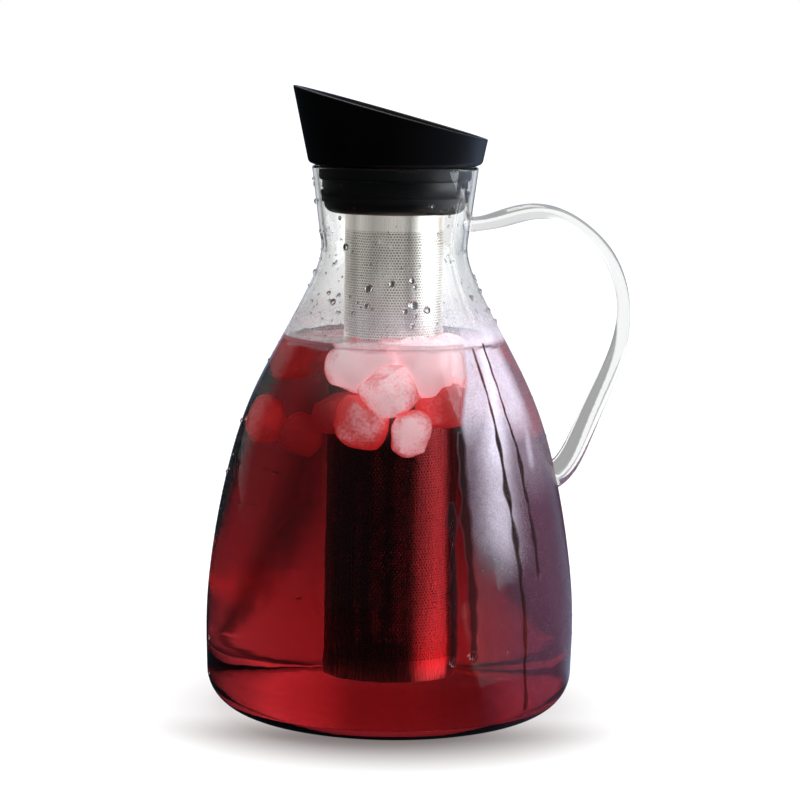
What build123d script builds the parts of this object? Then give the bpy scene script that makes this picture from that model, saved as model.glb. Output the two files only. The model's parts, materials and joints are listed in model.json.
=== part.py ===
# Iced tea maker: a glass jug with a glass handle, closed by a slanted pouring lid whose flap swings
# open when the jug is tipped. A steel infuser hangs from the lid by a bayonet and steeps the tea.
# Millimetres. Origin: middle of the base, on the surface that the jug stands on. +Z is up, +X points
# to the handle and -X to the side that the lid pours from. Outlines are (radius, height) pairs.

import os
from math import cos, radians, sqrt, tan

from build123d import *

os.makedirs("parts", exist_ok=True)

# Glass jug: a straight flared neck, a waist, and a bell-shaped body that narrows to a standing ring.
# Everything from the lower weld upwards is placed by its drop below the rim
jug_height = 217.4
rim_radius = 33.2
neck_radius = 30.2  # where the straight neck ends and the upper end of the handle is fused on
neck_length = 23.0
waist_radius = 29.1
waist_drop = 32.1
shoulder_stations = [(33.7, 47.4), (44.0, 67.4), (56.6, 92.4)]  # radius and drop
weld_radius = 66.0  # where the lower end of the handle is fused on
weld_drop = 122.4
hip_radius = 72.2
hip_height = 60.0
belly_radius = 74.0
belly_height = 26.4
heel_radius = 73.7  # where the lower corner starts to turn in
heel_rounding = 15.5
heel_tension = 0.5  # how strongly the side is drawn upright where it meets that corner
ring_width = 3.0
punt_height = 2.2
glass_wall = 1.9
base_thickness = 3.6
rim_rounding = 0.94

# Glass handle: an oval bar, pressed flatter where it bends, whose hot ends were pushed onto the jug
# and swelled into feet. Reach, drop and thickness of each station
handle_width = 9.0
handle_stations = [
    (36.8, 21.8, 6.2),
    (42.0, 20.4, 6.9),
    (57.4, 17.2, 6.2),
    (72.0, 21.9, 5.3),
    (83.9, 32.7, 5.2),
    (91.8, 54.9, 5.2),
    (87.9, 77.9, 7.2),
    (77.8, 102.1, 8.8),
    (71.9, 115.4, 9.6),
]
upper_foot = (11.0, 7.6)  # width and thickness of the foot where the bar's axis ends, inside the jug
lower_foot = (12.0, 11.4)
upper_weld_depth = 3.2  # how far the bar's axis runs on into the jug before it is cut to its surface
lower_weld_depth = (5.0, 2.5)

# Pouring collar: a flared cone cut off at a slant, highest on the pouring side
lid_gap = 0.3  # between the lid and the glass, all round
under_angle = 20.0  # the underside rises outwards and centres the lid on the rim
collar_radius = 34.5
collar_flare = 11.9
collar_corner = 2.2
spout_rise = 31.5  # from the jug's rim to the tip of the spout
spout_slant = 14.9
lip_wall = 2.8
lip_rounding = 0.5
funnel_angle = 17.0
funnel_rounding = 4.0
collar_lip = 1.1  # grips the core's flange from below
collar_fit = 0.2  # between the collar's bore and the core

# Lid core: the stopper in the neck, with the flap's seat on top and the infuser's socket below
core_depth = 18.0  # from the collar's underside to the bottom of the stopper
core_clearance = 1.15  # between the bottom of the stopper and the glass
core_draft = 0.8
core_rounding = 4.0
rim_seal_depth = 5.1
rim_seal_rounding = 1.4
land_step = 1.3  # the land between the two seals is this much narrower than the rim seal
land_height = 3.0
neck_seal_height = 5.3
seal_seat_radius = 26.0
core_neck_radius = 25.5
flange_radius = 28.5
flange_thickness = 2.2
boss_radius = 24.5
boss_height = 1.7
throat_radius = 16.8

# Neck seal: a ring with a fin that bends up against the glass and a skirt that hangs below it
fin_thickness = 0.7
fin_reach = 1.2
fin_rise = 1.4
fin_drop = 1.3  # from the top of the seal to the fin's tip
skirt_gap = 0.8
skirt_depth = 2.1

# Flap: a shallow steel pan over a silicone pad, hinged on the handle side of the throat
flap_radius = 19.3
flap_sheet = 0.6
flap_depth = 1.7
strap_lap = 1.2  # how far the hinge's strap runs in over the pan
pad_proud = 0.4  # the pad stands out below the pan's edge and meets the seat first
pad_fit = 0.1
rivet_radius = 1.5
rivet_head_radius = 3.2
rivet_head_height = 0.9
rivet_rounding = 0.45
pin_radius = 1.0
pin_clearance = 0.08
pin_reach = 21.5
pin_proud = 0.3
pin_chamfer = 0.15
ear_inner = 3.9
ear_outer = 6.4
ear_radius = 2.0
knuckle_gap = 0.3

# Infuser: a perforated tube with a pressed cap below and a bayonet collar above
infuser_radius = 19.7
infuser_sheet = 0.5
infuser_bottom = 16.4
cap_flange = 0.6
cap_skirt = 6.0
cap_dish = 1.6  # the middle of the cap is pressed up by this
cap_slope = 2.4
socket_depth = 9.9
socket_radius = 21.9
washer_thickness = 1.3
washer_inner = 17.6
turning_gap = 0.3  # between the infuser and the socket that it turns in
infuser_collar_height = 7.1
lug_count = 3
lug_width = 24.0
lug_height = 2.0
lug_reach = 1.5
lug_root = 0.3  # how far a lug runs into its ring
lug_drop = 2.3  # from the top of the collar to the top of a lug
twist_angle = 40.0
slot_side = 3.0  # degrees of room beside a lug

# Heights and radii that follow from the sizes above
foot_radius = heel_radius - heel_rounding
neck_slope = (rim_radius - neck_radius) / neck_length
neck_height = jug_height - neck_length


def neck_bore(height):
    """Inner radius of the glass neck at a height."""
    return rim_radius - glass_wall - neck_slope * (jug_height - height)


rim_middle = rim_radius - glass_wall / 2
under_height = jug_height - rim_rounding + (rim_rounding + lid_gap) / cos(radians(under_angle))
rim_seal_radius = neck_bore(jug_height - rim_seal_depth) - lid_gap
collar_base = under_height - (rim_middle - rim_seal_radius) * tan(radians(under_angle))
corner_height = under_height + (collar_radius - rim_middle) * tan(radians(under_angle))
spout_height = jug_height + spout_rise
spout_reach = collar_radius + (spout_height - corner_height) * tan(radians(collar_flare))

core_bottom = collar_base - core_depth
land_top = collar_base - rim_seal_depth
land_bottom = land_top - land_height
seal_bottom = land_bottom - neck_seal_height
land_radius = rim_seal_radius - land_step
core_radius = neck_bore(seal_bottom) - core_clearance
flange_bottom = collar_base + collar_lip
flange_top = flange_bottom + flange_thickness
seat_height = flange_top + boss_height

pan_edge = seat_height + lid_gap + pad_proud
pan_top = pan_edge + flap_depth
knuckle_bore = pin_radius + pin_clearance
knuckle_radius = knuckle_bore + flap_sheet
pin_height = pan_top + knuckle_bore
socket_top = core_bottom + socket_depth
infuser_top = socket_top - washer_thickness - turning_gap
lug_top = infuser_top - lug_drop
lug_bottom = lug_top - lug_height
collar_ring_radius = socket_radius - turning_gap
lug_radius = collar_ring_radius + lug_reach
groove_radius = lug_radius + turning_gap


def draw_side(inset, bottom):
    """The jug's side from the rim down to its flat foot, drawn in by an inset."""
    neck = Line((rim_radius - inset, jug_height), (neck_radius - inset, neck_height))
    rounding = heel_rounding - inset
    upper = [(waist_radius, waist_drop), *shoulder_stations, (weld_radius, weld_drop)]
    lower = [(hip_radius, hip_height), (belly_radius, belly_height), (heel_radius, bottom + rounding)]
    places = [(radius - inset, jug_height - drop) for radius, drop in upper]
    places += [(radius - inset, height) for radius, height in lower]
    Spline(neck @ 1, *places, tangents=(neck % 1, (0, -1)), tangent_scalars=(1, heel_tension))
    RadiusArc(places[-1], (foot_radius, bottom), rounding)


# The jug's outer shape as one solid body, before it is hollowed
with BuildPart() as jug_blank:
    with BuildSketch(Plane.XZ):
        with BuildLine():
            draw_side(0, 0)
            ring = Line((foot_radius, 0), (foot_radius - ring_width, 0))
            TangentArc((0, punt_height), ring @ 1, tangent=(1, 0))
            Polyline((0, punt_height), (0, jug_height), (rim_radius, jug_height))
        make_face()
    revolve(axis=Axis.Z)

with BuildPart() as glass_jug:
    add(jug_blank.part)
    with BuildSketch(Plane.XZ):
        with BuildLine():
            draw_side(glass_wall, base_thickness)
            TangentArc((0, punt_height + base_thickness), (foot_radius, base_thickness), tangent=(1, 0))
            Polyline(
                (0, punt_height + base_thickness), (0, jug_height), (rim_radius - glass_wall, jug_height)
            )
        make_face()
    revolve(axis=Axis.Z, mode=Mode.SUBTRACT)
    fillet(faces().filter_by(Plane.XY).sort_by(Axis.Z)[-1].edges(), rim_rounding)

# The bar runs on into the jug at both ends and is then cut to the glass that it is fused to
handle_places = [
    (neck_radius - upper_weld_depth, neck_length, *upper_foot),
    *[(reach, drop, handle_width, thickness) for reach, drop, thickness in handle_stations],
    (weld_radius - lower_weld_depth[0], weld_drop + lower_weld_depth[1], *lower_foot),
]
with BuildPart() as glass_handle:
    with BuildLine() as handle_axis:
        Spline(*[(reach, 0, jug_height - drop) for reach, drop, _, _ in handle_places])
    for reach, drop, width, thickness in handle_places:
        point = Vector(reach, 0, jug_height - drop)
        heading = handle_axis.edge().tangent_at(point)
        with BuildSketch(Plane(origin=point, x_dir=(0, 1, 0), z_dir=heading)):
            Ellipse(width / 2, thickness / 2)
    loft()
    add(jug_blank.part, mode=Mode.SUBTRACT)

# Pouring collar: the cone is turned whole and then cut by the slanted plane of its lip
with BuildPart() as pour_collar:
    with BuildSketch(Plane.XZ):
        top_height = spout_height + lip_wall
        top_radius = spout_reach + lip_wall * tan(radians(collar_flare))
        floor_run = collar_radius - lip_wall - boss_radius
        floor_rise = floor_run * tan(radians(funnel_angle))
        wall_foot = seat_height + floor_rise
        wall_foot_radius = collar_radius - lip_wall
        wall_foot_radius += (wall_foot - corner_height) * tan(radians(collar_flare))
        with BuildLine():
            Polyline(
                (core_neck_radius + collar_fit, collar_base),
                (rim_seal_radius, collar_base),
                (collar_radius, corner_height),
                (top_radius, top_height),
                (top_radius - lip_wall, top_height),
                (wall_foot_radius, wall_foot),
                (boss_radius + collar_fit, seat_height),
                (boss_radius + collar_fit, flange_top),
                (flange_radius + collar_fit, flange_top),
                (flange_radius + collar_fit, flange_bottom),
                (core_neck_radius + collar_fit, flange_bottom),
                close=True,
            )
        make_face()
        fillet(vertices().sort_by_distance((collar_radius, corner_height))[0], collar_corner)
        fillet(vertices().sort_by_distance((wall_foot_radius, wall_foot))[0], funnel_rounding)
    revolve(axis=Axis.Z)
    lip_plane = Plane(origin=(-spout_reach, 0, spout_height), z_dir=(0, 0, 1)).rotated((0, spout_slant, 0))
    split(bisect_by=lip_plane, keep=Keep.BOTTOM)
    fillet(faces().filter_by(lip_plane).edges(), lip_rounding)

# Lid core, with the infuser's socket and the two ears that carry the flap's pin
with BuildPart() as bayonet_room:
    with BuildSketch(Plane.XZ.rotated((0, 0, -(lug_width / 2 + slot_side)))):
        with Locations((socket_radius - lug_reach, lug_bottom - turning_gap)):
            Rectangle(
                groove_radius - socket_radius + lug_reach,
                lug_height + 2 * turning_gap,
                align=(Align.MIN, Align.MIN),
            )
    revolve(axis=Axis.Z, revolution_arc=lug_width + 2 * slot_side + twist_angle)
    entry_turn = twist_angle - lug_width / 2 - slot_side
    with BuildSketch(Plane.XZ.rotated((0, 0, entry_turn))):
        with Locations((socket_radius - lug_reach, core_bottom)):
            Rectangle(
                groove_radius - socket_radius + lug_reach,
                lug_top + turning_gap - core_bottom,
                align=(Align.MIN, Align.MIN),
            )
    revolve(axis=Axis.Z, revolution_arc=lug_width + 2 * slot_side)

with BuildPart() as lid_core:
    with BuildSketch(Plane.XZ):
        with BuildLine():
            Polyline(
                (socket_radius, core_bottom),
                (core_radius - core_draft, core_bottom),
                (core_radius, seal_bottom),
                (seal_seat_radius, seal_bottom),
                (seal_seat_radius, land_bottom),
                (land_radius, land_bottom),
                (land_radius, land_top),
                (core_neck_radius, land_top),
                (core_neck_radius, flange_bottom),
                (flange_radius, flange_bottom),
                (flange_radius, flange_top),
                (boss_radius, flange_top),
                (boss_radius, seat_height),
                (throat_radius, seat_height),
                (throat_radius, socket_top),
                (socket_radius, socket_top),
                close=True,
            )
        make_face()
        bottom_corner = (core_radius - core_draft, core_bottom)
        fillet(vertices().sort_by_distance(bottom_corner)[0], core_rounding)
    revolve(axis=Axis.Z)
    with PolarLocations(0, lug_count):
        add(bayonet_room.part, mode=Mode.SUBTRACT)
    for side in (-1, 1):
        with BuildSketch(Plane.XZ.offset(side * ear_inner)):
            with Locations((pin_reach, pin_height)):
                Circle(ear_radius)
            with Locations((pin_reach, seat_height)):
                Rectangle(2 * ear_radius, pin_height - seat_height, align=(Align.CENTER, Align.MIN))
            with Locations((pin_reach, pin_height)):
                Circle(pin_radius, mode=Mode.SUBTRACT)
        extrude(amount=side * (ear_outer - ear_inner))

with BuildPart() as rim_seal:
    with BuildSketch(Plane.XZ):
        with BuildLine():
            Polyline(
                (core_neck_radius, land_top),
                (rim_seal_radius, land_top),
                (rim_seal_radius, collar_base),
                (core_neck_radius, collar_base),
                close=True,
            )
        make_face()
        fillet(vertices().sort_by_distance((rim_seal_radius, land_top))[0], rim_seal_rounding)
    revolve(axis=Axis.Z)

fin_tip = land_bottom - fin_drop
fin_radius = neck_bore(fin_tip) - lid_gap
skirt_radius = neck_bore(seal_bottom) - lid_gap
root_radius = fin_radius - fin_reach
with BuildPart() as neck_seal:
    with BuildSketch(Plane.XZ):
        with BuildLine():
            Polyline(
                (seal_seat_radius, seal_bottom),
                (skirt_radius - fin_thickness - skirt_gap, seal_bottom),
                (skirt_radius - fin_thickness - skirt_gap, seal_bottom + skirt_depth),
                (skirt_radius - fin_thickness, seal_bottom + skirt_depth),
                (skirt_radius - fin_thickness, seal_bottom),
                (skirt_radius, seal_bottom),
                (skirt_radius, fin_tip - fin_rise - fin_thickness),
                (fin_radius, fin_tip - fin_thickness),
                (fin_radius, fin_tip),
                (root_radius, fin_tip - fin_rise + fin_thickness),
                (root_radius, land_bottom),
                (seal_seat_radius, land_bottom),
                close=True,
            )
        make_face()
    revolve(axis=Axis.Z)

# Flap: the pan's sheet runs back over the seat and curls round the pin as the hinge's knuckle
with BuildPart() as flap_pan:
    with BuildSketch(Plane.XY.offset(pan_edge)):
        Circle(flap_radius)
    extrude(amount=flap_depth)
    fillet(edges().group_by(Axis.Z)[-1], flap_sheet)
    with BuildSketch(Plane.XY.offset(pan_edge)):
        Circle(flap_radius - flap_sheet)
    extrude(amount=flap_depth - flap_sheet, mode=Mode.SUBTRACT)
    with BuildSketch(Plane.XZ.offset(knuckle_gap - ear_inner)):
        with Locations((pin_reach, pin_height)):
            Circle(knuckle_radius)
        with Locations((pin_reach, pan_top)):
            Rectangle(pin_reach - flap_radius + strap_lap, flap_sheet, align=(Align.MAX, Align.MAX))
        with Locations((pin_reach, pin_height)):
            Circle(knuckle_bore, mode=Mode.SUBTRACT)
    extrude(amount=2 * (ear_inner - knuckle_gap))
    with BuildSketch(Plane.XY.offset(pan_edge)):
        Circle(rivet_radius)
    extrude(amount=flap_depth, mode=Mode.SUBTRACT)

with BuildPart() as flap_pad:
    with BuildSketch(Plane.XY.offset(pan_edge - pad_proud)):
        Circle(flap_radius - flap_sheet - pad_fit)
        Circle(rivet_radius, mode=Mode.SUBTRACT)
    extrude(amount=flap_depth - flap_sheet + pad_proud)
    fillet(edges().group_by(Axis.Z)[0].sort_by(SortBy.RADIUS)[-1], pad_proud)

with BuildPart() as flap_rivet:
    with BuildSketch(Plane.XY.offset(pan_edge - pad_proud)):
        Circle(rivet_radius)
    extrude(amount=flap_depth + pad_proud)
    for start, height in ((pan_top, rivet_head_height), (pan_edge - pad_proud, -rivet_head_height)):
        with BuildSketch(Plane.XY.offset(start)):
            Circle(rivet_head_radius)
        extrude(amount=height)
    fillet(edges().group_by(Axis.Z)[-1] + edges().group_by(Axis.Z)[0], rivet_rounding)

with BuildPart() as hinge_pin:
    with BuildSketch(Plane.XZ.offset(-ear_outer - pin_proud)):
        with Locations((pin_reach, pin_height)):
            Circle(pin_radius)
    extrude(amount=2 * (ear_outer + pin_proud))
    chamfer(edges().filter_by(GeomType.CIRCLE), pin_chamfer)

# Infuser
with BuildPart() as socket_washer:
    with BuildSketch(Plane.XY.offset(socket_top)):
        Circle(socket_radius - collar_fit)
        Circle(washer_inner, mode=Mode.SUBTRACT)
    extrude(amount=-washer_thickness)

with BuildPart() as bayonet_lug:
    with BuildSketch(Plane.XZ.rotated((0, 0, -lug_width / 2))):
        with Locations((collar_ring_radius - lug_root, lug_bottom)):
            Rectangle(lug_root + lug_reach, lug_height, align=(Align.MIN, Align.MIN))
    revolve(axis=Axis.Z, revolution_arc=lug_width)

with BuildPart() as infuser_collar:
    with BuildSketch(Plane.XY.offset(infuser_top)):
        Circle(collar_ring_radius)
        Circle(infuser_radius, mode=Mode.SUBTRACT)
    extrude(amount=-infuser_collar_height)
    with PolarLocations(0, lug_count):
        add(bayonet_lug.part)

tube_bottom = infuser_bottom + cap_flange
with BuildPart() as infuser_tube:
    with BuildSketch(Plane.XY.offset(tube_bottom)):
        Circle(infuser_radius)
        Circle(infuser_radius - infuser_sheet, mode=Mode.SUBTRACT)
    extrude(amount=infuser_top - tube_bottom)

cup_radius = infuser_radius - infuser_sheet
skirt_inner = cup_radius - infuser_sheet
dish_radius = skirt_inner - cap_slope
with BuildPart() as infuser_cap:
    with BuildSketch(Plane.XZ):
        with BuildLine():
            Polyline(
                (0, infuser_bottom + cap_dish),
                (dish_radius - cap_slope, infuser_bottom + cap_dish),
                (dish_radius, infuser_bottom),
                (infuser_radius, infuser_bottom),
                (infuser_radius, tube_bottom),
                (cup_radius, tube_bottom),
                (cup_radius, tube_bottom + cap_skirt),
                (skirt_inner, tube_bottom + cap_skirt),
                (skirt_inner, tube_bottom),
                (dish_radius, tube_bottom),
                (dish_radius - cap_slope, tube_bottom + cap_dish),
                (0, tube_bottom + cap_dish),
                close=True,
            )
        make_face()
    revolve(axis=Axis.Z)

pieces = {
    "glass_jug": glass_jug,
    "glass_handle": glass_handle,
    "pour_collar": pour_collar,
    "lid_core": lid_core,
    "rim_seal": rim_seal,
    "neck_seal": neck_seal,
    "flap_pan": flap_pan,
    "flap_pad": flap_pad,
    "flap_rivet": flap_rivet,
    "hinge_pin": hinge_pin,
    "socket_washer": socket_washer,
    "infuser_collar": infuser_collar,
    "infuser_tube": infuser_tube,
    "infuser_cap": infuser_cap,
}
for label, piece in pieces.items():
    piece.part.label = label
    export_step(piece.part, f"parts/{label}.step")
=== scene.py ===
# Iced tea maker: finishes, tea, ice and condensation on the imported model.
# The scene is in metres; the settings are in millimetres and degrees unless their names say otherwise.
# Turn means the angle around the jug, 0 towards the viewer (-Y) and 90 towards the handle (+X).
import json
import math
import random

import bmesh
import bpy
from mathutils import Matrix, Vector, noise
from mathutils.bvhtree import BVHTree

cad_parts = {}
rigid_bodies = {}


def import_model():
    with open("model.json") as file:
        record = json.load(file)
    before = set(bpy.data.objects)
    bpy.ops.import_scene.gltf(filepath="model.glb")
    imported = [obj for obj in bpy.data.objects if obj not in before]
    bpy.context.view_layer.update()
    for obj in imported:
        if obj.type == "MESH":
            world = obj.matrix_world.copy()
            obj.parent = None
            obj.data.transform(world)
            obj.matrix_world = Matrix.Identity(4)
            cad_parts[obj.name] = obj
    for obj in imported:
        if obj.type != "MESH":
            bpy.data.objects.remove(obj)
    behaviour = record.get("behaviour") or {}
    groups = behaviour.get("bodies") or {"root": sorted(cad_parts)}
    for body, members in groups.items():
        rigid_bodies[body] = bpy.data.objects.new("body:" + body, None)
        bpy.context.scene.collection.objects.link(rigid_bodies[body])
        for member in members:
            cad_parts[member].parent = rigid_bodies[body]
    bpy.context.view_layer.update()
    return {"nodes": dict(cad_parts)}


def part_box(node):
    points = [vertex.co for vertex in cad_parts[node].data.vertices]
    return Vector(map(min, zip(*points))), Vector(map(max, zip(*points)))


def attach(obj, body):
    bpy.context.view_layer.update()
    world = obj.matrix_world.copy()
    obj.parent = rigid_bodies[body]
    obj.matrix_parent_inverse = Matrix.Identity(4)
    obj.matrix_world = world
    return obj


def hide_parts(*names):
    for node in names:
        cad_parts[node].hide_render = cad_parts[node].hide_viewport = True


for thing in list(bpy.data.objects):
    bpy.data.objects.remove(thing)
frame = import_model()
nodes = frame["nodes"]
mm = 0.001
print("model loaded:", len(nodes), "nodes")


# camera
shot = {
    "place": (3.1, -1000, 259),
    "lookDown": 7.70,
    "roll": 0.8,
    "focalPixels": 2515,
    "picturePixels": 800,
    "sensor": 36,
}


def makeCamera():
    data = bpy.data.cameras.new("tableCamera")
    data.sensor_width = shot["sensor"]
    data.lens = shot["sensor"] * shot["focalPixels"] / shot["picturePixels"]
    camera = bpy.data.objects.new("tableCamera", data)
    bpy.context.scene.collection.objects.link(camera)
    place = Matrix.Translation(Vector(shot["place"]) * mm)
    tilt = Matrix.Rotation(math.radians(90 - shot["lookDown"]), 4, "X")
    camera.matrix_world = place @ tilt @ Matrix.Rotation(math.radians(shot["roll"]), 4, "Z")
    bpy.context.scene.camera = camera


makeCamera()


# small helpers for node trees
def addNode(tree, kind, feeds=None, **settings):
    made = tree.nodes.new("ShaderNode" + kind)
    for name, value in settings.items():
        setattr(made, name, value)
    for socket, value in (feeds or {}).items():
        if isinstance(value, bpy.types.NodeSocket):
            tree.links.new(value, made.inputs[socket])
        else:
            made.inputs[socket].default_value = value
    return made


def calc(tree, operation, *values):
    return addNode(tree, "Math", dict(enumerate(values)), operation=operation).outputs[0]


def remap(tree, value, low, high, newLow=0.0, newHigh=1.0):
    feeds = {"Value": value, "From Min": low, "From Max": high, "To Min": newLow, "To Max": newHigh}
    return addNode(tree, "MapRange", feeds, interpolation_type="SMOOTHSTEP").outputs["Result"]


def blendColours(tree, factor, one, two):
    feeds = {"Factor": factor, 6: one, 7: two}
    return addNode(tree, "Mix", feeds, data_type="RGBA").outputs[2]


def newGroup(name, inputs, outputs):
    group = bpy.data.node_groups.new(name, "ShaderNodeTree")
    for label, start in inputs.items():
        kind = "NodeSocketVector" if isinstance(start, tuple) else "NodeSocketFloat"
        group.interface.new_socket(label, in_out="INPUT", socket_type=kind).default_value = start
    for label in outputs:
        kind = "NodeSocketColor" if label.endswith("Colour") else "NodeSocketFloat"
        group.interface.new_socket(label, in_out="OUTPUT", socket_type=kind)
    return group, group.nodes.new("NodeGroupInput"), group.nodes.new("NodeGroupOutput")


def useGroup(tree, group, **values):
    made = tree.nodes.new("ShaderNodeGroup")
    made.node_tree = group
    for label, value in values.items():
        if isinstance(value, bpy.types.NodeSocket):
            tree.links.new(value, made.inputs[label])
        else:
            made.inputs[label].default_value = value
    return made


def newMaterial(name, **sockets):
    material = bpy.data.materials.new(name)
    material.use_nodes = True
    tree = material.node_tree
    shader = tree.nodes["Principled BSDF"]
    for label, value in sockets.items():
        shader.inputs[label.replace("_", " ")].default_value = value
    return material, tree, shader


def feed(tree, shader, socket, value):
    tree.links.new(value, shader.inputs[socket])


def bumpFrom(tree, shader, height, strength, depth):
    # depth in millimetres
    made = addNode(tree, "Bump", {"Strength": strength, "Distance": depth * mm, "Height": height})
    feed(tree, shader, "Normal", made.outputs["Normal"])


# effects that several finishes share
def makeGrain():
    # fine moulding grain with larger cloudy patches, for silicone, plastic and ice
    group, start, end = newGroup("softGrain", {"Fine": 2600.0, "Cloud": 45.0}, ["Grain", "Cloud"])
    place = addNode(group, "TexCoord").outputs["Object"]
    fine = addNode(group, "TexNoise", {"Vector": place, "Scale": start.outputs["Fine"], "Detail": 2.0})
    cloud = addNode(group, "TexNoise", {"Vector": place, "Scale": start.outputs["Cloud"], "Detail": 4.0})
    group.links.new(fine.outputs["Fac"], end.inputs["Grain"])
    group.links.new(cloud.outputs["Fac"], end.inputs["Cloud"])
    return group


def makeAround():
    # where a point lies around and along the jug's axis: turn in radians, height in metres
    group, _, end = newGroup("aroundAxis", {}, ["Turn", "Height", "Reach"])
    place = addNode(group, "TexCoord").outputs["Object"]
    split = addNode(group, "SeparateXYZ", {"Vector": place})
    back = calc(group, "MULTIPLY", split.outputs["Y"], -1.0)
    turn = calc(group, "ARCTAN2", split.outputs["X"], back)
    square = calc(group, "MULTIPLY", split.outputs["X"], split.outputs["X"])
    total = calc(group, "ADD", square, calc(group, "MULTIPLY", back, back))
    group.links.new(turn, end.inputs["Turn"])
    group.links.new(split.outputs["Z"], end.inputs["Height"])
    group.links.new(calc(group, "SQRT", total), end.inputs["Reach"])
    return group


def makeBrushing(axis):
    # long fine lines that run along the axis, as drawn sheet has them
    group, start, end = newGroup("drawnLines", {"Across": 90.0, "Along": 14.0}, ["Lines"])
    spot = useGroup(group, axis)
    feeds = {
        "X": calc(group, "MULTIPLY", spot.outputs["Turn"], start.outputs["Across"]),
        "Y": calc(group, "MULTIPLY", spot.outputs["Height"], start.outputs["Along"]),
        "Z": calc(group, "MULTIPLY", spot.outputs["Reach"], start.outputs["Across"]),
    }
    line = addNode(group, "CombineXYZ", feeds).outputs[0]
    lines = addNode(group, "TexNoise", {"Vector": line, "Scale": 1.0, "Detail": 3.0})
    group.links.new(lines.outputs["Fac"], end.inputs["Lines"])
    return group


def makePerforation(axis):
    # staggered round holes around a tube: Hole is 1 in a hole, and Rim fades out around it
    sizes = {"Columns": 108.0, "Row": 0.00105, "Hole": 0.5, "Low": 0.0, "High": 1.0}
    group, start, end = newGroup("perforation", sizes, ["Hole", "Rim"])
    spot = useGroup(group, axis)
    size = start.outputs
    row = calc(group, "DIVIDE", spot.outputs["Height"], size["Row"])
    rowNumber = calc(group, "FLOOR", row)
    stagger = calc(group, "MULTIPLY", calc(group, "FLOORED_MODULO", rowNumber, 2.0), 0.5)
    share = calc(group, "DIVIDE", spot.outputs["Turn"], 2 * math.pi)
    column = calc(group, "ADD", calc(group, "MULTIPLY", share, size["Columns"]), stagger)
    across = calc(group, "SUBTRACT", calc(group, "FRACT", column), 0.5)
    along = calc(group, "SUBTRACT", calc(group, "FRACT", row), 0.5)
    squares = [calc(group, "MULTIPLY", side, side) for side in (across, along)]
    distance = calc(group, "SQRT", calc(group, "ADD", *squares))
    hole = calc(group, "LESS_THAN", distance, calc(group, "MULTIPLY", size["Hole"], 0.5))
    above = calc(group, "GREATER_THAN", spot.outputs["Height"], size["Low"])
    below = calc(group, "LESS_THAN", spot.outputs["Height"], size["High"])
    inside = calc(group, "MULTIPLY", above, below)
    group.links.new(calc(group, "MULTIPLY", hole, inside), end.inputs["Hole"])
    edge = calc(group, "MULTIPLY", size["Hole"], 0.5)
    rim = addNode(group, "MapRange", {"Value": distance, "From Min": edge, "From Max": 0.46, "To Min": 1.0,
                                      "To Max": 0.0}).outputs["Result"]
    group.links.new(calc(group, "MULTIPLY", rim, inside), end.inputs["Rim"])
    return group


softGrain = makeGrain()
aroundAxis = makeAround()
drawnLines = makeBrushing(aroundAxis)
perforation = makePerforation(aroundAxis)
print("shared effects made")


# materials
# grain and patches are the scales of the fine and the cloudy noise, and bump is (strength, depth)
finish = {
    "glass": {"colour": (0.985, 0.995, 0.99, 1), "rough": (0.0, 0.03), "ior": 1.47, "patches": 14.0,
              "bump": (1.0, 0.05)},
    "silicone": {"colour": (0.0012, 0.0008, 0.001, 1), "pale": (0.003, 0.0025, 0.004, 1), "rough": (0.44, 0.60),
                 "shine": 0.4, "grain": 2600.0, "patches": 38.0, "bump": (0.35, 0.05)},
    "plastic": {"colour": (0.0015, 0.001, 0.0015, 1), "pale": (0.003, 0.003, 0.004, 1), "rough": (0.24, 0.38),
                "shine": 0.35, "grain": 1800.0, "patches": 38.0, "bump": (0.35, 0.03)},
    "steel": {"colour": (0.62, 0.60, 0.56, 1), "pale": (0.70, 0.69, 0.66, 1), "rough": (0.24, 0.31),
              "rim": (0.20, 0.18, 0.16, 1), "stretch": 0.35, "across": 160.0, "along": 10.0, "bump": (0.1, 0.01)},
    # painted reflections on the punched tube: emission levels by turn, in place of the lights that it mirrors
    "steelPaintedReflections": {"colour": (1.0, 0.94, 0.87), "outside": 19.45, "rimShare": 0.25, "clearDepth": 2.5,
                   "paintedBands": [(-180, 0.3), (-140, 0.5), (-115, 0.22), (-90, 0.6), (-75, 0.5), (-65, 0.42),
                             (-52, 0.30), (-42, 0.48), (-25, 0.30), (-10, 0.40), (-3, 0.47), (10, 0.45), (17, 0.22),
                             (25, 0.18), (33, 0.55), (42, 0.66), (52, 1.0), (65, 0.66), (80, 1.0), (105, 0.3),
                             (130, 0.5), (180, 0.3)]},
    "tea": {"absorb": (0.858, 0.43, 0.467, 1), "density": 60.0, "ior": 1.333},
    # the ice's colours are also emitted at strength glow, painted light; faces turned from the view are painted darker
    # and redder
    "ice": {"deep": (0.20, 0.012, 0.016, 1), "red": (0.62, 0.045, 0.045, 1), "white": (1.0, 0.84, 0.88, 1),
            "rough": 0.30, "ior": 1.31, "through": 0.15, "glow": 0.56, "edges": 0.6, "cloudy": (0.82, 1.14),
            "speckle": (0.9, 1.1), "redFrom": (0.05, 0.4), "whiteFrom": (0.35, 0.85), "grain": 900.0,
            "patches": 95.0, "bump": (0.5, 0.25)},
    # the film's colours are painted light and shade: a dim one away from the window, a bright one where the window
    # shines on it, and a dark red painted where washed glass and the tea's edge show dark
    "mist": {"paintedDim": (0.098, 0.030, 0.060, 1), "paintedBright": (0.85, 0.75, 0.86, 1), "paintedDark": (0.018, 0.001, 0.002, 1),
             "paintedDarkCover": 0.8, "rough": 0.6, "shine": 0.25, "speckle": (0.84, 1.08), "cloudy": (0.92, 1.06),
             "grain": 1500.0, "patches": 260.0, "bump": (0.5, 0.2)},
}


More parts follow.
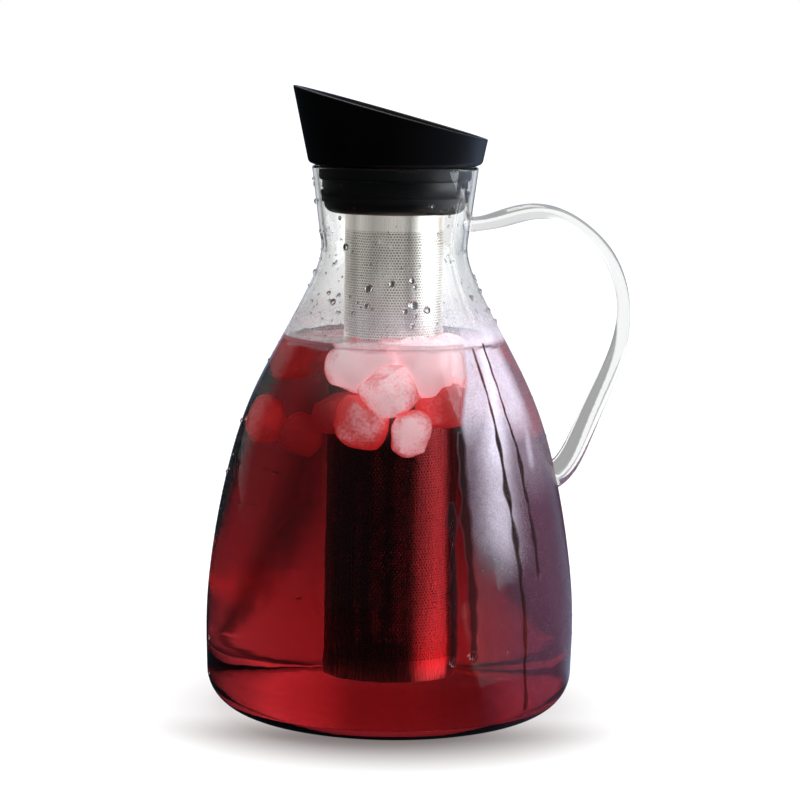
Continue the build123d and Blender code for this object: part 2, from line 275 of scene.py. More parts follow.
def makeGlass(name):
    # clear, with slow waves in it and a few duller patches
    look = finish["glass"]
    material, tree, shader = newMaterial(name, Base_Color=look["colour"], Transmission_Weight=1.0, IOR=look["ior"])
    patches = useGroup(tree, softGrain, Cloud=look["patches"]).outputs["Cloud"]
    feed(tree, shader, "Roughness", remap(tree, patches, 0.5, 0.75, *look["rough"]))
    bumpFrom(tree, shader, patches, *look["bump"])
    return material


def makeMoulded(name, look):
    # matt moulded black, a little paler where it was handled
    material, tree, shader = newMaterial(name, Specular_IOR_Level=look["shine"])
    grain = useGroup(tree, softGrain, Fine=look["grain"], Cloud=look["patches"]).outputs
    pale = remap(tree, grain["Cloud"], 0.35, 0.75)
    feed(tree, shader, "Base Color", blendColours(tree, pale, look["colour"], look["pale"]))
    feed(tree, shader, "Roughness", remap(tree, grain["Cloud"], 0.3, 0.7, *look["rough"]))
    bumpFrom(tree, shader, grain["Grain"], *look["bump"])
    return material


def makeSteel(name, holes=None):
    look = finish["steel"]
    material, tree, shader = newMaterial(name, Metallic=1.0, Anisotropic=look["stretch"])
    lines = useGroup(tree, drawnLines, Across=look["across"], Along=look["along"]).outputs["Lines"]
    colour = blendColours(tree, remap(tree, lines, 0.3, 0.7), look["colour"], look["pale"])
    feed(tree, shader, "Roughness", remap(tree, lines, 0.3, 0.7, *look["rough"]))
    bumpFrom(tree, shader, lines, *look["bump"])
    if holes:
        punched = useGroup(tree, perforation, **holes).outputs
        feed(tree, shader, "Alpha", calc(tree, "SUBTRACT", 1.0, punched["Hole"]))
        colour = blendColours(tree, punched["Rim"], colour, look["rim"])
        # painted reflections, weaker round the holes
        addPaintedReflections(tree, shader, punched["Rim"])
    feed(tree, shader, "Base Color", colour)
    return material


def addRamp(tree, share, levels, tint, peak=1.0):
    # a colour ramp over the angles in levels, from -180 to 180
    ramp = addNode(tree, "ValToRGB", {"Fac": share})
    stops = ramp.color_ramp.elements
    while len(stops) < len(levels):
        stops.new(0.5)
    for stop, (angle, level) in zip(stops, levels):
        stop.position = (angle + 180) / 360
        stop.color = [level * part / peak for part in tint] + [1]
    return ramp.outputs["Color"]


def addPaintedReflections(tree, shader, rims):
    # painted reflections: emission bands by the angle around the tube stand in for the soft lights it catches, strong
    # in air or behind the clear neck, none inside the tea
    paintedReflection = finish["steelPaintedReflections"]
    spot = useGroup(tree, aroundAxis).outputs
    share = calc(tree, "ADD", calc(tree, "DIVIDE", spot["Turn"], math.tau), 0.5)
    paintedBands = addRamp(tree, share, paintedReflection["paintedBands"], paintedReflection["colour"])
    outside = calc(tree, "GREATER_THAN", spot["Reach"], paintedReflection["outside"] * mm)
    depth = addNode(tree, "LightPath").outputs["Transmission Depth"]
    clear = calc(tree, "LESS_THAN", depth, paintedReflection["clearDepth"])
    plain = remap(tree, rims, 0.0, 1.0, 1.0, paintedReflection["rimShare"])
    level = calc(tree, "MULTIPLY", calc(tree, "MULTIPLY", outside, clear), plain)
    feed(tree, shader, "Emission Color", blendColours(tree, level, (0, 0, 0, 1), paintedBands))
    shader.inputs["Emission Strength"].default_value = 1.0


def makeTea():
    look = finish["tea"]
    material, tree, shader = newMaterial("redTea", Transmission_Weight=1.0, Roughness=0.0, IOR=look["ior"])
    volume = addNode(tree, "VolumeAbsorption", {"Color": look["absorb"], "Density": look["density"]})
    tree.links.new(volume.outputs[0], tree.nodes["Material Output"].inputs["Volume"])
    return material


def makeIce():
    # frost comes with the mesh: little lets the tea's red through, much scatters white light; the colour is also
    # emitted, painted light that makes the ice glow
    look = finish["ice"]
    material, tree, shader = newMaterial("meltingIce", Roughness=look["rough"], IOR=look["ior"],
                                         Transmission_Weight=look["through"])
    frostAndGlow = addNode(tree, "Attribute", attribute_name="frostAndGlow").outputs["Fac"]
    grain = useGroup(tree, softGrain, Fine=look["grain"], Cloud=look["patches"]).outputs
    # painted shade: faces turned from the view are drawn less milky, so darker and redder
    facing = addNode(tree, "LayerWeight", {"Blend": 0.4}).outputs["Facing"]
    clear = calc(tree, "SUBTRACT", 1.0, calc(tree, "MULTIPLY", facing, look["edges"]))
    cloudy = remap(tree, grain["Cloud"], 0.3, 0.7, *look["cloudy"])
    speckle = remap(tree, grain["Grain"], 0.3, 0.7, *look["speckle"])
    milky = calc(tree, "MULTIPLY", calc(tree, "MULTIPLY", frostAndGlow, clear), calc(tree, "MULTIPLY", cloudy, speckle))
    redder = blendColours(tree, remap(tree, milky, *look["redFrom"]), look["deep"], look["red"])
    colour = blendColours(tree, remap(tree, milky, *look["whiteFrom"]), redder, look["white"])
    feed(tree, shader, "Base Color", colour)
    # painted light: the ice glows with its own colour
    feed(tree, shader, "Emission Color", colour)
    shader.inputs["Emission Strength"].default_value = look["glow"]
    bumpFrom(tree, shader, grain["Grain"], *look["bump"])
    return material


def makeMist():
    # a film of fine droplets: how thick it lies, the painted light of the window on it and the painted dark where water
    # ran come with the mesh
    look = finish["mist"]
    material, tree, shader = newMaterial("condensationFilm", Roughness=look["rough"], Specular_IOR_Level=look["shine"])
    thick, shine, paintedDark = (addNode(tree, "Attribute", attribute_name=label).outputs["Fac"]
                         for label in ("mist", "shine", "paintedDark"))
    # painted light: the film goes from a dim colour to a bright one where the window would shine on it
    film = blendColours(tree, shine, look["paintedDim"], look["paintedBright"])
    # painted shade: where water ran and along the tea's edge the film turns dark red
    feed(tree, shader, "Base Color", blendColours(tree, paintedDark, film, look["paintedDark"]))
    grain = useGroup(tree, softGrain, Fine=look["grain"], Cloud=look["patches"]).outputs
    speckle = remap(tree, grain["Grain"], 0.32, 0.68, *look["speckle"])
    cloudy = remap(tree, grain["Cloud"], 0.3, 0.7, *look["cloudy"])
    veil = calc(tree, "MULTIPLY", thick, calc(tree, "MULTIPLY", speckle, cloudy))
    cover = calc(tree, "MAXIMUM", veil, calc(tree, "MULTIPLY", paintedDark, look["paintedDarkCover"]))
    feed(tree, shader, "Alpha", calc(tree, "MINIMUM", cover, 1.0))
    bumpFrom(tree, shader, grain["Grain"], *look["bump"])
    return material


def makeWater():
    return newMaterial("waterDrops", Transmission_Weight=1.0, Roughness=0.0, IOR=finish["tea"]["ior"])[0]


tubeHoles = {"Columns": 108.0, "Row": 1.05 * mm, "Hole": 0.52, "Low": 24.0 * mm, "High": 192.6 * mm}
glass = makeGlass("clearGlass")
silicone = makeMoulded("blackSilicone", finish["silicone"])
plastic = makeMoulded("blackPlastic", finish["plastic"])
steel = makeSteel("drawnSteel")
punchedSteel = makeSteel("punchedSteel", tubeHoles)
redTea = makeTea()
meltingIce = makeIce()
mistFilm = makeMist()
water = makeWater()
wears = {
    "glass_jug": glass,
    "pour_collar": silicone,
    "lid_core": plastic,
    "rim_seal": silicone,
    "neck_seal": silicone,
    "flap_pan": steel,
    "flap_pad": silicone,
    "flap_rivet": steel,
    "hinge_pin": steel,
    "socket_washer": silicone,
    "infuser_collar": plastic,
    "infuser_tube": punchedSteel,
    "infuser_cap": steel,
}
for name, material in wears.items():
    for index in range(len(nodes[name].data.materials)):
        nodes[name].material_slots[index].material = material
print("materials made")


# the glass wall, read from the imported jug
def treeOf(node):
    mesh = nodes[node].data
    places = [vertex.co.copy() for vertex in mesh.vertices]
    return BVHTree.FromPolygons(places, [tuple(face.vertices) for face in mesh.polygons])


jugTree = treeOf("glass_jug")
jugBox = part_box("glass_jug")


def around(turn, reach, height):
    angle = math.radians(turn)
    return Vector((reach * math.sin(angle), -reach * math.cos(angle), height))


def wallAt(height, fromInside):
    # radius of the inner or outer wall: the largest of a few rays, since facets lie inside the true circle
    found = []
    outside = 200 * mm
    for turn in range(0, 360, 24):
        start = around(turn, 0.0 if fromInside else outside, height)
        heading = around(turn, 1.0 if fromInside else -1.0, 0)
        struck = jugTree.ray_cast(start, heading)[0]
        if struck:
            found.append(math.hypot(struck.x, struck.y))
    return max(found)


wallStep = 1.0 * mm
wallTables = {}
for inside in (False, True):
    heights = [0.2 * mm] + [count * wallStep for count in range(1, int(jugBox[1].z / wallStep))]
    wallTables[inside] = (heights, [wallAt(height, inside) for height in heights])


def wall(height, inside=False):
    heights, radii = wallTables[inside]
    height = min(max(height, heights[0]), heights[-1])
    place = height / wallStep
    low = min(int(place), len(heights) - 2)
    share = min(max(place - low, 0), 1)
    return radii[low] * (1 - share) + radii[low + 1] * share


def wallNormal(turn, height):
    gap = 2 * mm
    slope = (wall(height + gap) - wall(height - gap)) / (2 * gap)
    return around(turn, 1, -slope).normalized()


print("glass wall measured")


# what every piece of the scene goes through
def finishPiece(name, mesh, material, body):
    piece = bpy.data.objects.new(name, mesh)
    bpy.context.scene.collection.objects.link(piece)
    mesh.materials.append(material)
    for face in mesh.polygons:
        face.use_smooth = True
    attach(piece, body)
    return piece


def meshFrom(name, bm):
    bmesh.ops.recalc_face_normals(bm, faces=bm.faces)
    mesh = bpy.data.meshes.new(name)
    bm.to_mesh(mesh)
    bm.free()
    return mesh


def copyFaces(source, bm, made):
    # the faces of source, between the vertices made from its own
    source.verts.index_update()
    for face in source.faces:
        bm.faces.new([made[vertex.index] for vertex in face.verts])
    source.free()


# handle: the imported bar, with its end faces sunk a little into the wall that they are fused to
handleFit = {"sink": 0.7, "touch": 0.03}


def makeHandle():
    bm = bmesh.new()
    bm.from_mesh(nodes["glass_handle"].data)
    bmesh.ops.remove_doubles(bm, verts=bm.verts, dist=0.01 * mm)
    for vertex in bm.verts:
        struck, _, _, distance = jugTree.find_nearest(vertex.co)
        if distance < handleFit["touch"] * mm:
            vertex.co -= Vector((struck.x, struck.y, 0)).normalized() * handleFit["sink"] * mm
    return meshFrom("glassHandle", bm)


glassHandle = finishPiece("glassHandle", makeHandle(), glass, "jug")
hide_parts("glass_handle")
print("handle made")


# tea
tea = {
    "level": 149.4,
    "intoWall": 0.15,
    "floor": 6.2,
    "floorReach": 52,
    "climb": 0.8,
    "climbWidth": 0.96,
    "ripple": 0.5,
    "rippleScale": 90,
    "calmEdge": (4, 0.3),  # how wide, and how much ripple is left there
    "fineBelow": 20,
    "steps": (0.5, 2),  # below that height and above it
    "rings": 60,
    "turns": 160,
}


def lathe(bm, profile, turns, closed=True):
    # spins (reach, height) pairs around the axis
    rings = []
    for reach, height in profile:
        rings.append([bm.verts.new(around(turn, reach, height)) for turn in turns])
    count = len(turns)
    for low, high in zip(rings, rings[1:]):
        for index in range(count):
            after = (index + 1) % count
            bm.faces.new((low[index], low[after], high[after], high[index]))
    for place in (0, -1) if closed else ():
        middle = bm.verts.new((0, 0, profile[place][1]))
        for index in range(count):
            bm.faces.new((rings[place][index], rings[place][(index + 1) % count], middle))


def makeTeaBody():
    bm = bmesh.new()
    level = tea["level"] * mm
    low = tea["floor"] * mm - tea["intoWall"] * mm
    profile = [(share * tea["floorReach"] * mm, low) for share in (0.25, 0.5, 0.75, 1.0)]
    height = low + 0.4 * mm
    while height < level:
        profile.append((wall(height, True) + tea["intoWall"] * mm, height))
        height += tea["steps"][height >= tea["fineBelow"] * mm] * mm
    edge = wall(level, True) + tea["intoWall"] * mm
    profile.append((edge, level + tea["climb"] * mm))
    for step in range(1, tea["rings"]):
        reach = edge * (1 - step / tea["rings"])
        lift = tea["climb"] * mm * math.exp(-(edge - reach) / (tea["climbWidth"] * mm))
        profile.append((reach, level + lift))
    lathe(bm, profile, [index * 360 / tea["turns"] for index in range(tea["turns"])])
    calmWidth, calmShare = tea["calmEdge"]
    for vertex in bm.verts:
        if vertex.co.z > level - 0.2 * mm:
            reach = math.hypot(vertex.co.x, vertex.co.y)
            calm = min(1.0, (edge - reach) / (calmWidth * mm)) * (1 - calmShare) + calmShare
            vertex.co.z += tea["ripple"] * mm * calm * noise.noise(vertex.co * tea["rippleScale"])
    return meshFrom("redTea", bm)


finishPiece("redTea", makeTeaBody(), redTea, "jug")
print("tea poured")


# ice: (turn, depth behind the glass, height, width, breadth, thickness, spin, frost that also sets how bright the
# painted glow is)
ice = {
    "cubes": [
        (-18, 13.0, 138.5, 28, 19, 19, 10, 1.05),
        (-1, 11.5, 131.0, 20, 19, 19, -24, 0.85),
        (21, 11.5, 140.0, 22, 20, 25, 10, 1.35),
        (-17, 18.0, 119.0, 18, 18, 19, 24, 0.55),
        (9, 13.0, 115.5, 14, 15, 17, 6, 0.8),
        (-38, 27.0, 119.0, 18, 17, 15, -18, 0.19),
        (-42, 27.0, 136.0, 19, 17, 18, 22, 0.17),
        (-60, 24.0, 110.0, 15, 14, 13, 30, 0.14),
        (-36, 24.0, 145.0, 15, 14, 9, 12, 0.4),
        (4, 18.0, 146.5, 15, 15, 9, 5, 0.9),
        (45, 13.0, 142.0, 21, 19, 21, 35, 1.0),
        (58, 14.0, 127.0, 19, 18, 19, 0, 0.7),
        (33, 20.0, 124.0, 19, 17, 19, 12, 0.42),
        (8, 24.0, 134.0, 18, 17, 17, 40, 0.36),
    ],
    "behind": {"count": 12, "fromTurn": 80, "toTurn": 290, "depth": 13.5, "heights": (110, 142), "size": (14, 21),
               "spin": (-40, 40), "frostAndGlow": (0.10, 0.34), "seed": 7},
    "rounding": 0.70,
    "ball": 1.18,
    "shrink": 0.92,
    "melt": 1.6,
    "dentScale": 0.11,
    "cuts": 11,
}


def addCube(bm, middle, facing, size, spin, seed):
    # a cube drawn towards a ball, dented by noise where it melts; gives back how many points it has
    cube = bmesh.new()
    bmesh.ops.create_cube(cube, size=2.0)
    bmesh.ops.subdivide_edges(cube, edges=cube.edges, cuts=ice["cuts"], use_grid_fill=True)
    turnIt = facing @ Matrix.Rotation(math.radians(spin), 3, "Y") @ Matrix.Rotation(math.radians(spin * 1.7), 3, "Z")
    made = []
    for vertex in cube.verts:
        ball = vertex.co.normalized()
        shape = vertex.co.lerp(ball * ice["ball"], ice["rounding"]) * ice["shrink"]
        local = Vector([part * length / 2 for part, length in zip(shape, size)])
        local += ball * noise.noise(local * ice["dentScale"] + Vector((seed * 7.3, 0, 0))) * ice["melt"]
        made.append(bm.verts.new(middle + (turnIt @ local) * mm))
    copyFaces(cube, bm, made)
    return len(made)


def makeIceCubes():
    bm = bmesh.new()
    cubes = list(ice["cubes"])
    behind = ice["behind"]
    chance = random.Random(behind["seed"])
    gap = (behind["toTurn"] - behind["fromTurn"]) / behind["count"]
    for index in range(behind["count"]):
        size = [chance.uniform(*behind["size"]) for _ in range(3)]
        turn = behind["fromTurn"] + (index + chance.uniform(0.2, 0.8)) * gap
        height, spin, frostAndGlow = (chance.uniform(*behind[label]) for label in ("heights", "spin", "frostAndGlow"))
        cubes.append((turn, behind["depth"], height, *size, spin, frostAndGlow))
    frostAndGlowValues = []
    for seed, (turn, depth, height, width, breadth, thickness, spin, frostAndGlow) in enumerate(cubes):
        reach = wall(min(height + thickness * 0.35, tea["level"]) * mm, True) - depth * mm
        facing = Matrix.Rotation(math.radians(turn), 3, "Z")
        count = addCube(bm, around(turn, reach, height * mm), facing, (width, breadth, thickness), spin, seed)
        frostAndGlowValues += [frostAndGlow] * count
    mesh = meshFrom("iceCubes", bm)
    mesh.attributes.new("frostAndGlow", "FLOAT", "POINT").data.foreach_set("value", frostAndGlowValues)
    return mesh


finishPiece("iceCubes", makeIceCubes(), meltingIce, "jug")
print("ice added")


# condensation on the outside of the glass
# a run of water: its width, its (turn, height) path down to the drop at its foot, and where it stands in beads
runs = [
    (2.0, [(52.6, 150), (50.9, 138), (50.3, 124), (52.0, 111), (51.6, 96), (53.0, 79), (53.4, 61)], (106, 148)),
    (2.3, [(43.6, 149), (42.6, 113), (42.5, 97), (43.2, 87), (44.1, 73), (44.5, 60), (45.2, 48), (45.4, 26), (47, 8)],
     (80, 146)),
    (3.6, [(26.3, 119), (25.2, 100), (24.9, 88), (25.8, 67), (26.1, 45), (26.0, 35)], None),
    (2.8, [(20.3, 93), (20.0, 73), (19.7, 50), (19.7, 33)], (44, 86)),
]
runShape = {
    "wander": 0.45,
    "half": 0.52,
    "swell": 0.5,
    "narrower": 0.45,
    "narrowAbove": (96, 124),
    "soft": (0.55, 1.25),
}
mist = {
    "proud": 0.05,
    "edge": [(150, 38), (138, 34.5), (130, 30.5), (123, 27.8), (112, 27.0), (70, 25.8), (37, 26.8), (17, 28.5)],
    "edgeSoft": 1.5,
    "base": 0.74,
    "thinBelow": (66, 88),
    "thinShare": 0.62,
    "footFade": (14, 34),
    "footShare": 0.35,
    "sideFades": [((58, 72), 0.4), ((90, 150), 0.5)],  # turns, and how much is lost over them
    "topFade": (148, 162),
    # the painted window light on the film: where its bands lie, how wide they are, and how they fade
    "paintedBand": [(152, 51), (136, 48), (122, 43.5), (111, 41), (100, 39.5), (78, 38), (40, 38)],
    "bandWidths": (8.75, 7.0),  # towards the viewer and away
    "bandCover": 0.2,
    "bandFade": (58, 80),
    "bandFull": (98, 114),
    "bandLow": 0.72,
    "secondBand": [(128, 63), (102, 58.5)],
    "secondWidth": 3.0,
    "secondShine": 0.5,
    "secondRange": (96, 108, 124, 134),
    "topShine": 0.75,
    "topShineFrom": (104, 128),
    "topShineTo": (60, 75),
    "pinkShine": 0.2,
    "pinkShineFrom": (84, 110),
    "shoulder": 0.26,
    "shoulderTop": (157, 170),
    "neck": 0.05,
    # the painted dark line along the tea's edge
    "teaLine": 148.6,
    "teaLineWaver": 0.7,
    "teaLineCover": 0.6,
    "turnSteps": [(18, 3), (66, 0.3), (179, 2.5)],  # up to a turn, by a step
    "heightSteps": (4, 0.8, 240),  # from, step, count
}


def alongPath(path, height):
    # the turn at a height on a path of (turn, height) or (height, turn) pairs sorted by height
    path = sorted(path)
    if height <= path[0][0]:
        return path[0][1]
    for (low, lowTurn), (high, highTurn) in zip(path, path[1:]):
        if height <= high:
            return lowTurn + (highTurn - lowTurn) * (height - low) / (high - low)
    return path[-1][1]


def runAt(path, number, height):
    if not path[-1][1] - 2 <= height <= path[0][1]:
        return None
    wander = runShape["wander"] * noise.noise(Vector((height * 0.16, number * 9, 0)))
    return alongPath([(level, turn) for turn, level in path], height) + wander


def smooth(value, low, high):
    share = min(max((value - low) / (high - low), 0), 1)
    return share * share * (3 - 2 * share)


def paintedShineAt(turn, height):
    # painted light: how strongly the window would shine on the film here, painted into the film's colour
    off = turn - alongPath(mist["paintedBand"], height)
    off /= mist["bandWidths"][off > 0]
    full = mist["bandLow"] + (1 - mist["bandLow"]) * smooth(height, *mist["bandFull"])
    first = math.exp(-off * off) * smooth(height, *mist["bandFade"]) * full
    off = (turn - alongPath(mist["secondBand"], height)) / mist["secondWidth"]
    low, lowFull, highFull, high = mist["secondRange"]
    second = mist["secondShine"] * math.exp(-off * off) * smooth(height, low, lowFull)
    second *= 1 - smooth(height, highFull, high)
    top = smooth(height, *mist["topShineFrom"]) * mist["topShine"] * (1 - smooth(turn, *mist["topShineTo"]))
    pink = mist["pinkShine"] * smooth(height, *mist["pinkShineFrom"])
    return min(1.0, max(first, second, top, pink, smooth(height, 147, 151)))


def washedAndPaintedDarkAt(turn, height):
    # where running water has washed the mist away, painted dark red in place of the dark tea seen through the clear
    # glass, and a thin painted dark line where the tea's edge meets the glass
    most = 0.0
    for number, (width, path, _) in enumerate(runs):
        middle = runAt(path, number, height)
        if middle is not None:
            gap = abs(turn - middle) * math.radians(1) * wall(height * mm) / mm
            swell = runShape["swell"] * noise.noise(Vector((height * 0.11, number * 5, 2)))
            half = width * (runShape["half"] + swell)
            half *= 1 - runShape["narrower"] * smooth(height, *runShape["narrowAbove"])
            foot = smooth(height - path[-1][1], -0.5, 3)
            inner, outer = (half * share for share in runShape["soft"])
            most = max(most, foot * (1 - smooth(gap, inner, outer)))
    # painted dark line along the tea's edge
    line = mist["teaLine"] + mist["teaLineWaver"] * noise.noise(Vector((turn * 0.07, 3, 1)))
    drawn = (1 - smooth(abs(height - line), 0.2, 0.8)) * smooth(70 - abs(turn), 0, 8)
    return max(most, mist["teaLineCover"] * drawn)


def mistAt(turn, height):
    edge = alongPath(mist["edge"], height)
    # the film starts sharply above, and thinly where the jug is full of light lower down
    thin = 1 - smooth(height, *mist["thinBelow"])
    start = smooth(turn, edge - mist["edgeSoft"], edge + mist["edgeSoft"] + 3 * thin)
    inFog = start * (1 - thin * mist["thinShare"] * (1 - smooth(turn, edge + 2, edge + 22)))
    inFog *= 1 - mist["footShare"] * (1 - smooth(height, *mist["footFade"]))
    inFog *= 1 - sum(lost * smooth(turn, *span) for span, lost in mist["sideFades"])
    inFog *= 1 - smooth(height, *mist["topFade"])
    # the film lies thicker where its painted window light is
    amount = inFog * (mist["base"] + mist["bandCover"] * paintedShineAt(turn, height))
    shoulder = mist["shoulder"] * smooth(height, 148.6, 150) * (1 - smooth(height, *mist["shoulderTop"]))
    neck = mist["neck"] * smooth(height, 150, 158) * (1 - smooth(height, 168, 186))
    return (max(amount, shoulder) + neck) * (1 - washedAndPaintedDarkAt(turn, height))


def makeMistFilm():
    bm = bmesh.new()
    turns = []
    turn = -180
    for end, step in mist["turnSteps"]:
        while turn < end:
            turns.append(turn)
            turn += step
    lowest, step, count = mist["heightSteps"]
    heights = [lowest + step * index for index in range(count)]
    profile = [(wall(height * mm) + mist["proud"] * mm, height * mm) for height in heights]
    lathe(bm, profile, turns, closed=False)
    mesh = meshFrom("condensationFilm", bm)
    # stored on the film: how thick the mist lies, its painted window light, and its painted dark where water ran
    for label, measure in (("mist", mistAt), ("shine", paintedShineAt), ("paintedDark", washedAndPaintedDarkAt)):
        values = [measure(turn, height) for height in heights for turn in turns]
        mesh.attributes.new(label, "FLOAT", "POINT").data.foreach_set("value", values)
    return mesh


finishPiece("condensationFilm", makeMistFilm(), mistFilm, "jug")
print("glass misted")


def addDrop(bm, turn, height, size, tall=1.0, proud=0.42):
    # a flattened ball, sunk a little into the glass
    normal = wallNormal(turn, height * mm)
    middle = around(turn, wall(height * mm), height * mm)
    side = Vector((0, 0, 1)).cross(normal).normalized()
    up = normal.cross(side)
    ball = bmesh.new()
    bmesh.ops.create_icosphere(ball, subdivisions=2, radius=0.5)
    made = []
    for vertex in ball.verts:
        local = vertex.co
        sag = 1 - 0.25 * max(local.z, 0)
        step = side * local.x * size * sag + up * local.z * size * tall + normal * local.y * size * proud * 2
        made.append(bm.verts.new(middle + step * mm))
    copyFaces(ball, bm, made)


# large drops on the shoulder: (turn, height, size)
drops = {
    "placed": [
        (-40.0, 186.6, 2.6), (-47.0, 168.6, 1.9), (-40.7, 165.5, 2.6), (-37.7, 168.3, 1.6), (-61.7, 164.8, 1.5),
        (-28.9, 167.8, 1.3), (-22.4, 165.8, 1.2), (-24.3, 162.0, 1.9), (-16.5, 171.2, 3.4), (-1.1, 173.3, 2.6),
        (-16.2, 164.9, 2.4), (-12.8, 163.8, 1.6), (7.0, 163.3, 2.6), (14.6, 172.2, 1.8), (12.8, 174.5, 2.4),
        (12.2, 165.5, 4.0), (20.7, 163.6, 3.0), (12.8, 161.5, 2.0), (10.6, 157.8, 2.2), (-43.8, 197.8, 1.6),
        (28.0, 203.0, 1.4), (35.0, 192.0, 1.6), (44.0, 199.0, 1.3), (20.0, 180.0, 1.2),
    ],
    "scattered": [
        # count, turns, heights, sizes, seed
        (70, (-85, 70), (152, 182), (0.4, 1.1), 3),
        (40, (-80, 80), (182, 214), (0.3, 0.9), 4),
        (150, (70, 275), (152, 212), (0.5, 2.2), 5),
        (110, (27, 120), (20, 150), (0.4, 1.0), 6),
        (160, (120, 290), (15, 150), (0.5, 1.8), 8),
    ],
}


def makeDrops():
    bm = bmesh.new()
    for turn, height, size in drops["placed"]:
        addDrop(bm, turn, height, size, 1.1)
    for count, turns, heights, sizes, seed in drops["scattered"]:
        chance = random.Random(seed)
        for _ in range(count):
            turn = chance.uniform(*turns)
            height = chance.uniform(*heights)
            size = sizes[0] + (sizes[1] - sizes[0]) * chance.random() ** 2
            addDrop(bm, turn, height, size, chance.uniform(0.95, 1.3))
    return meshFrom("waterDrops", bm)


def makeRuns():
    # the beads that stand along the runs, and a heavy drop at the foot of each
    bm = bmesh.new()
    for number, (width, path, beaded) in enumerate(runs):
        chance = random.Random(number)
        height, top = beaded or (0, 0)
        while height < top:
            turn = runAt(path, number, height) + chance.uniform(-0.4, 0.4)
            addDrop(bm, turn, height, width * chance.uniform(0.3, 0.55), chance.uniform(1.2, 2.6), 0.3)
            height += chance.uniform(1.2, 4.5)
        addDrop(bm, runAt(path, number, path[-1][1]), path[-1][1], width * 0.95, 1.4, 0.36)
    return meshFrom("waterRuns", bm)


finishPiece("waterDrops", makeDrops(), water, "jug")
finishPiece("waterRuns", makeRuns(), water, "jug")
print("drops added")


# studio
# distances from the jug's axis are in metres here
studio = {
    # light around the object by compass direction, 0 behind it and 90 on the handle's side, as shares of full
    # white: on the table and above it as seen through the glass, and as mirrored on surfaces
    "table": [(-180, 0.02), (-62, 0.03), (-50, 0.16), (-24, 0.16), (-18, 0.08), (-9.5, 0.08), (-6.5, 1.0), (6, 1.0),
              (9, 0.4), (13, 0.21), (20, 0.6), (29, 0.5), (42, 0.28), (52, 0.16), (64, 0.16), (71, 9.5), (116, 9.5),
              (126, 0.05), (180, 0.02)],
    "tablePeak": 10.0,
    "above": [(-180, 0.02), (-60, 0.10), (-46, 1.2), (-24, 1.2), (-16, 0.5), (-9, 0.6), (-5, 0.8), (5, 0.8),
              (10, 1.5), (20, 2.0), (29, 1.1), (46, 0.5), (64, 0.2), (71, 2.4), (116, 2.4), (126, 0.05),
              (180, 0.02)],
    "abovePeak": 2.5,
    "mirrored": [(-180, 0.01), (-25, 0.02), (-8, 1.0), (9, 1.0), (18, 0.05), (34, 0.05), (44, 0.9), (70, 0.9),
                 (84, 0.1), (130, 0.03), (180, 0.01)],
    "mirroredColour": (0.55, 0.70, 1.0),
    "behind": (0.57, 0.90, 0.02, 0.9),
    "clearBar": 0.4,
    "clearWalls": 1.0,
    "clearMost": 1.2,
    "teaMost": 21.2,
    "wallDepth": 3.5,  # a ray that was bent more often than this has gone through a wall
    "teaDepth": 4.5,  # and more often than this, through the tea
    "brightNear": (0.10, 0.17, 3.0, 24.0),
    "overhead": 0.8,
    "overheadFrom": (0.45, 0.9),
    "tableHalf": 30.0,
    "tableDrop": 0.0003,
    "floorColour": (0.12, 0.12, 0.12, 1),
    # the painted shadow on the table: its warm colour, how much light is left in it, how far it reaches from the axis
    # and how it grows to the front
    "shadowColour": (1.0, 0.905, 0.885, 1),
    "shadowGlow": 0.2,
    "shadowReach": (0.058, 0.120),
    "shadowFront": (-0.02, -0.06, 0.35, 1.0),
    "spread": 1.43,
    "seenNear": (0.08, 0.13, 3.0, 1.1),
    "seenMiddle": (0.13, 0.28, 1.0, 0.45),
    "seenFar": (0.65, 1.1, 0.0, 1.0),
    "seenUnder": (0.085, 0.12, 0.7, 0.0),
    # painted red light on the table under the jug, seen in reflections within the glass
    "redUnder": (0.1, 0.14, 0.24, 0.0),
    "redColour": (1.0, 0.05, 0.07, 1),
    "lamps": [
        # name, place in metres, size in metres, watts, colour, mirrored in surfaces
        ("sideWindow", (0.62, -0.05, 0.32), (0.42, 0.56), 3.0, (0.80, 0.89, 1.0), False),
        ("highWindow", (1.4, -0.35, 0.85), (0.9, 1.0), 7, (0.80, 0.89, 1.0), False),
        ("overhead", (-0.15, 0.25, 1.5), (0.9, 0.9), 17, (1.0, 0.98, 0.95), True),
    ],
}


def makeSurroundings():
    outputs = ["Table", "Above", "Behind", "MirroredColour"]
    group, start, end = newGroup("surroundings", {"Heading": (0.0, 0.0, 1.0)}, outputs)
    split = addNode(group, "SeparateXYZ", {"Vector": start.outputs["Heading"]})
    compass = calc(group, "ARCTAN2", split.outputs["X"], split.outputs["Y"])
    share = calc(group, "ADD", calc(group, "DIVIDE", compass, math.tau), 0.5)
    for label, socket in (("table", "Table"), ("above", "Above")):
        peak = studio[label + "Peak"]
        level = addRamp(group, share, studio[label], (1, 1, 1), peak)
        group.links.new(calc(group, "MULTIPLY", level, peak), end.inputs[socket])
    behind = remap(group, calc(group, "COSINE", compass), *studio["behind"])
    group.links.new(behind, end.inputs["Behind"])
    mirrored = addRamp(group, share, studio["mirrored"], studio["mirroredColour"])
    group.links.new(mirrored, end.inputs["MirroredColour"])
    return group


surroundings = makeSurroundings()


